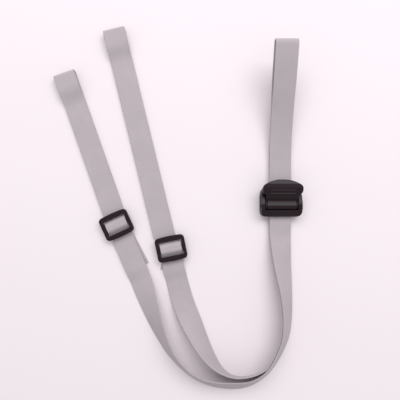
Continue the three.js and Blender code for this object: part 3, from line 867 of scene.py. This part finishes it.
def build_buckle_body():
    inside = BUCKLE_HALF - CHEEK
    hole = pivot_rod(TRUNNION_RADIUS + RUNNING_GAP, -PAST_SIDES, PAST_SIDES)
    cuts = [
        block(-inside, inside, BRIDGE_FRONT, FAR, BASE_PLATE, FAR),
        block(-inside, inside, -FAR, FAR, BASE_PLATE, BRIDGE_BOTTOM),
        hole,
        pivot_rod(BARREL_RADIUS + RUNNING_GAP, -inside, inside),
    ]
    # the outer faces of the cheeks are dished round the pivot boss
    for side in (-1, 1):
        cuts.append(prism(DISH_OUTLINE, *on_side(side, (BUCKLE_HALF - DISH_DEPTH, PAST_SIDES))))
    obj = solid_object(prism(CHEEK_OUTLINE, -BUCKLE_HALF, BUCKLE_HALF))
    for cut in cuts:
        combine(obj, cut, "DIFFERENCE")
    combine(obj, prism(buckle_plan(), *BUCKLE_PLAN_HEIGHTS, "xy"), "INTERSECT")
    for side in (-1, 1):
        combine(obj, pivot_rod(BOSS_RADIUS, *on_side(side, BOSS_SPAN)), "UNION")
        combine(obj, hole, "DIFFERENCE")
    # low ribs on the base plate grip the webbing from below
    for y in BODY_RIBS:
        rib = [(y - BODY_RIB_HALF, BODY_RIB_FOOT), (y + BODY_RIB_HALF, BODY_RIB_FOOT), (y, BODY_RIB_TOP)]
        combine(obj, prism(rib, BODY_RIB_INSET - inside, inside - BODY_RIB_INSET), "UNION")
    rounded(obj, "buckle_body_moulding", voxel=0.28, passes=3)
    place_moulded(obj, (BUCKLE_X, 0))
    finish_piece(obj, "buckle", "buckle_body")


def lever_plan():
    """Seen from above: straight along the barrel and the neck, then a wide finger end with a bowed front."""
    side = [
        (BARREL_HALF, PIVOT_Y - 6), (NECK_HALF, 4.6), (NECK_HALF + 1.6, 5.4), (FLARE_HALF - 0.4, 6.6),
        (FLARE_HALF, 8.6), (FLARE_HALF, 11.0), (FLARE_HALF - 0.7, 12.9), (FLARE_HALF - 2.0, 14.0),
    ]
    a, b, c = np.array(side[-1]), np.array([FLARE_HALF / 2, LEVER_TIP]), np.array([0.0, LEVER_TIP])
    for t in np.linspace(0, 1, NOSE_POINTS)[1:]:
        side.append(tuple((1 - t) ** 2 * a + 2 * t * (1 - t) * b + t * t * c))
    return both_halves(side)


def build_lever():
    obj = solid_object(prism(LEVER_OUTLINE, -FLARE_HALF, FLARE_HALF))
    combine(obj, prism(lever_plan(), *LEVER_PLAN_HEIGHTS, "xy"), "INTERSECT")
    combine(obj, pivot_rod(BARREL_RADIUS, -BARREL_HALF, BARREL_HALF), "UNION")
    combine(obj, pivot_rod(TRUNNION_RADIUS, -TRUNNION_HALF, TRUNNION_HALF), "UNION")
    # a narrow groove near each end of the barrel leaves a flange beside the cheek
    for side in (-1, 1):
        x0, x1 = on_side(side, GROOVE_SPAN)
        groove = solid_object(pivot_rod(BARREL_RADIUS + GROOVE_REACH, x0, x1))
        core = pivot_rod(BARREL_RADIUS - GROOVE_DEPTH, x0 - OVERSHOOT, x1 + OVERSHOOT)
        combine(groove, core, "DIFFERENCE")
        combine_object(obj, groove, "DIFFERENCE")
    # grip ribs across the finger end
    for y, z in FINGER_RIBS:
        combine(obj, rod(y, z, FINGER_RIB_RADIUS, -FINGER_RIB_HALF, FINGER_RIB_HALF, sides=16), "UNION")
    # teeth along the underside of the cam
    for degrees in TOOTH_ANGLES:
        a = math.radians(degrees)
        y = PIVOT_Y + BARREL_RADIUS * math.cos(a)
        z = PIVOT_Z + BARREL_RADIUS * math.sin(a)
        combine(obj, rod(y, z, TOOTH_RADIUS, -TOOTH_HALF, TOOTH_HALF, sides=8), "UNION")
    rounded(obj, "cam_lever_moulding", voxel=0.22, passes=3)
    place_moulded(obj, (BUCKLE_X, 0))
    finish_piece(obj, "lever", "cam_lever")


# ------------------------------------------------------------------ tri-glide sliders
BAR_OUTLINE = [
    (-1.8, 2.0), (-1.3, BAR_BOTTOM), (1.3, BAR_BOTTOM), (1.8, 2.0), (1.8, 2.9), (1.3, BAR_TOP),
    (-1.3, BAR_TOP), (-1.8, 2.9),
]


def slider_outline():
    """Seen from above: round corners, and ends that bow outwards."""
    x, y = SLIDER_HALF_WIDTH, SLIDER_HALF_LENGTH - SLIDER_BOW
    corner = SLIDER_CORNER
    outline = arc(x - corner, y - corner, corner, 0, math.pi / 2)
    for t in np.linspace(BOW_EXTENT, -BOW_EXTENT, CURVE_POINTS):
        outline.append((x * t * BOW_SPREAD, y + SLIDER_BOW * (1 - t * t)))
    outline += arc(corner - x, y - corner, corner, math.pi / 2, math.pi)
    return outline + [(-a, -b) for a, b in outline]


def opening_outline():
    """The opening in the frame, with rails that swell into it at mid-length."""
    x, y, corner = OPENING_HALF_WIDTH, OPENING_HALF_LENGTH, OPENING_CORNER
    right = arc(x - corner, corner - y, corner, -math.pi / 2, 0, steps=5)
    for t in np.linspace(-SWELL_EXTENT, SWELL_EXTENT, CURVE_POINTS):
        right.append((x - RAIL_SWELL * (1 - t * t) ** 2, t * (y - corner)))
    right += arc(x - corner, y - corner, corner, 0, math.pi / 2, steps=5)
    return both_halves(right)


def build_slider(leg):
    obj = solid_object(prism(slider_outline(), SLIDER_BOTTOM, SLIDER_TOP, "xy"))
    combine(obj, prism(opening_outline(), *OPENING_HEIGHTS, "xy"), "DIFFERENCE")
    combine(obj, prism(BAR_OUTLINE, -BAR_REACH, BAR_REACH), "UNION")
    rounded(obj, f"{leg.side}_slider_moulding", voxel=0.26, passes=6)
    place_moulded(obj, leg.slider, leg.angle + leg.skew)
    finish_piece(obj, f"{leg.side}_slider", f"{leg.side}_slider")


build_buckle_body()
build_lever()
build_slider(LEFT)
build_slider(RIGHT)
